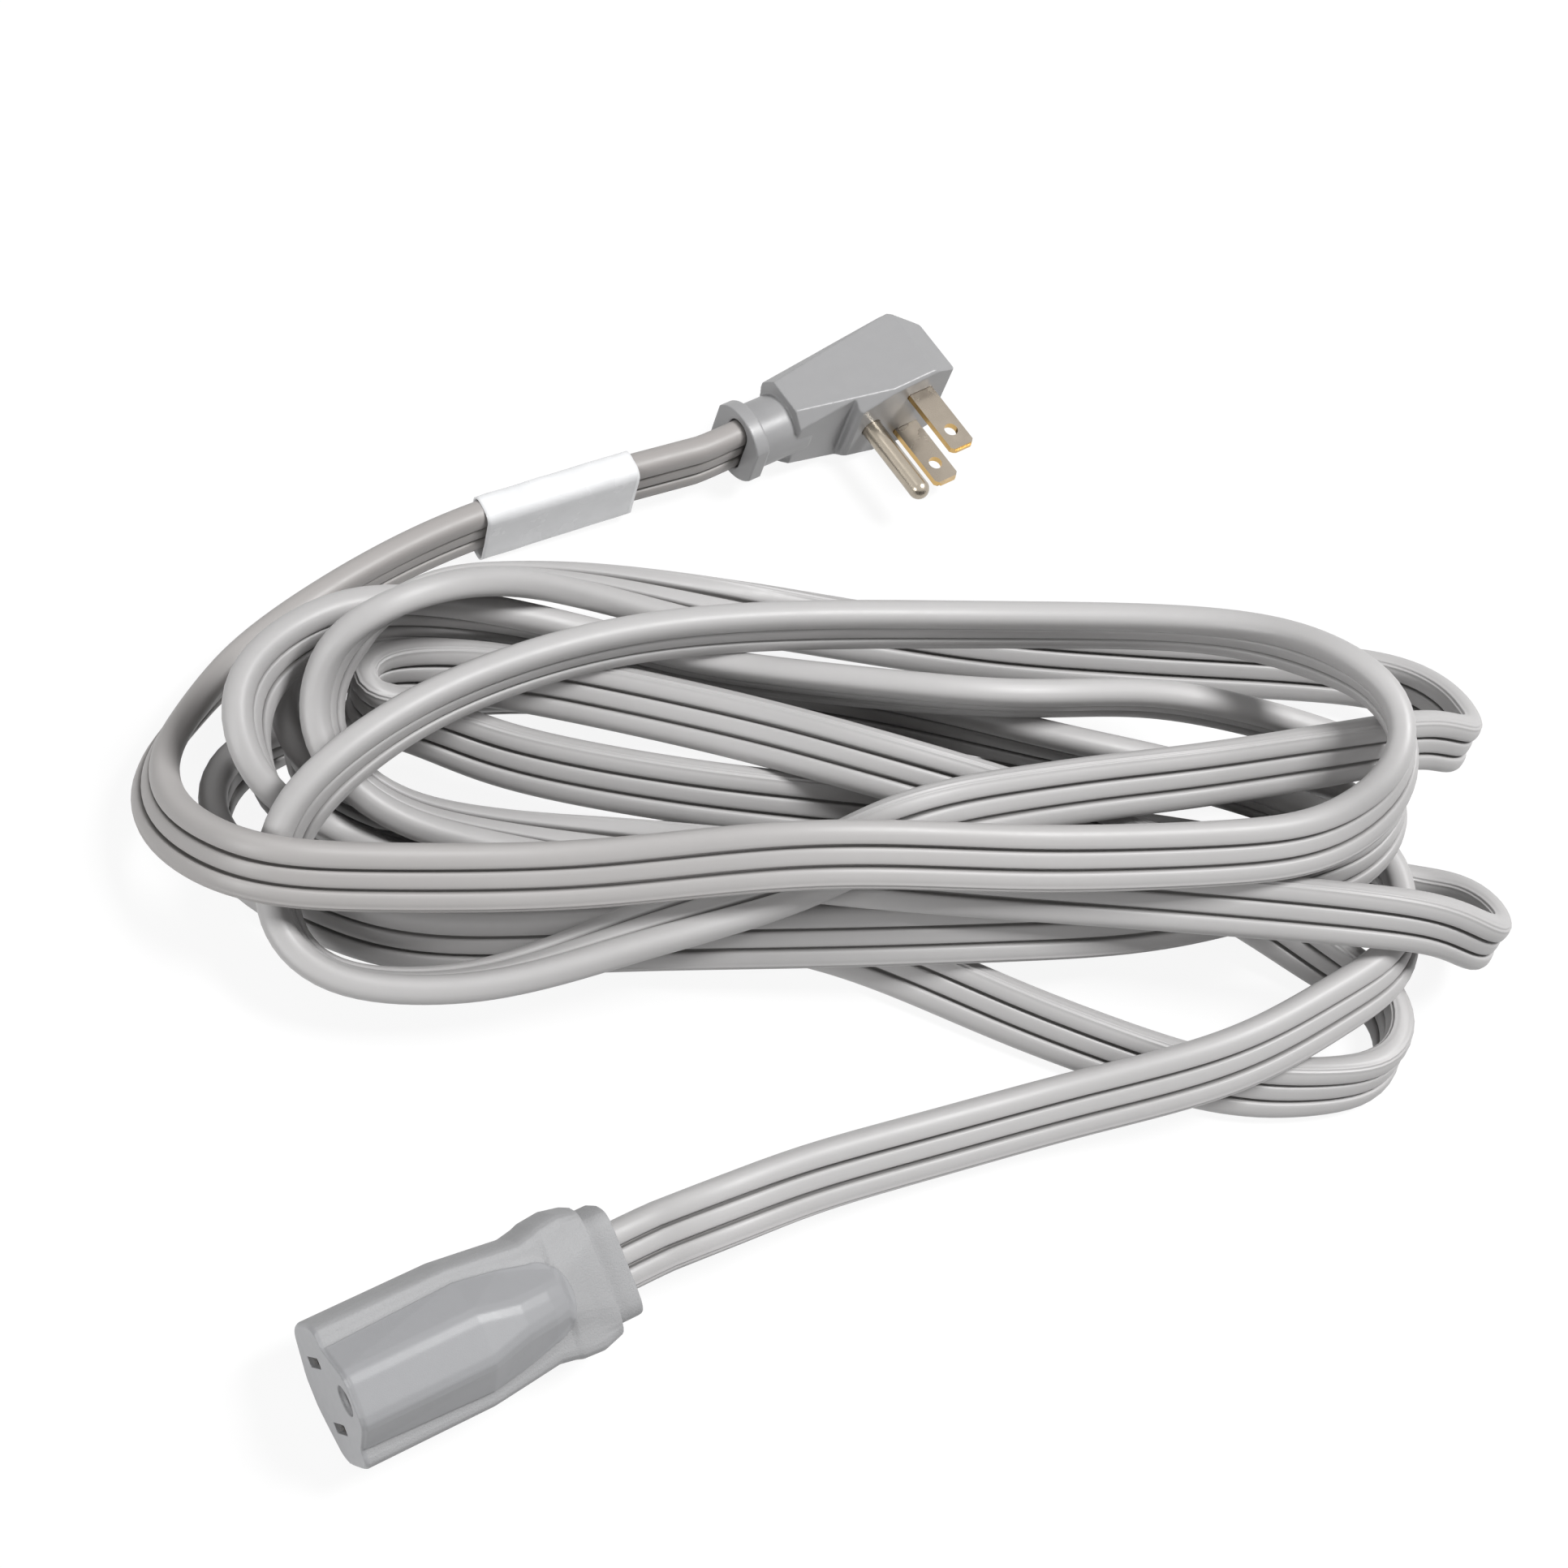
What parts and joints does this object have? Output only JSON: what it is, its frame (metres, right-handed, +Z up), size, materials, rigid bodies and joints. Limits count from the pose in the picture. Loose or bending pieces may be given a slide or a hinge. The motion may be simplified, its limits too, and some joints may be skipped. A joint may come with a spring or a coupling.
{
  "type": "extension cord",
  "caption": "Flat three-core extension cord lying in a loose hank, with a flat side-entry three-pin plug, a moulded single-outlet connector and a bare label sleeve.",
  "frame": {"origin": "on the floor, under the middle of the box round the plug and the connector", "axes": "X and Y lie on the floor, X along the hank toward its plain end, Z up"},
  "size_m": [0.288, 0.271, 0.0645],
  "materials": {
    "moulding": "satin light warm grey PVC",
    "cord_jacket": "satin light warm grey PVC",
    "label": "glossy white film",
    "plated_brass": "bright nickel over brass, brass at the edges",
    "spring_brass": "bare rolled brass",
    "copper": "bare stranded copper",
    "black_core": "plain",
    "white_core": "plain",
    "green_core": "plain",
    "stiff_plastic": "plain stiff thermoplastic"
  },
  "bodies": {
    "root": {"plug_overmould": "moulding", "plug_blade_bridge": "stiff_plastic", "line_blade": "plated_brass", "neutral_blade": "plated_brass", "ground_pin": "plated_brass", "plug_line_conductor": "copper", "plug_neutral_conductor": "copper", "plug_ground_conductor": "copper", "plug_line_insulation": "black_core", "plug_neutral_insulation": "white_core", "plug_ground_insulation": "green_core", "cord_plug_lead": "cord_jacket", "cord_loops": "cord_jacket", "cord_connector_lead": "cord_jacket", "rating_label": "label", "connector_overmould": "moulding", "connector_contact_carrier": "stiff_plastic", "connector_line_contact": "spring_brass", "connector_neutral_contact": "spring_brass", "connector_ground_contact": "spring_brass", "connector_line_conductor": "copper", "connector_neutral_conductor": "copper", "connector_ground_conductor": "copper", "connector_line_insulation": "black_core", "connector_neutral_insulation": "white_core", "connector_ground_insulation": "green_core"}
  },
  "joints": []
}
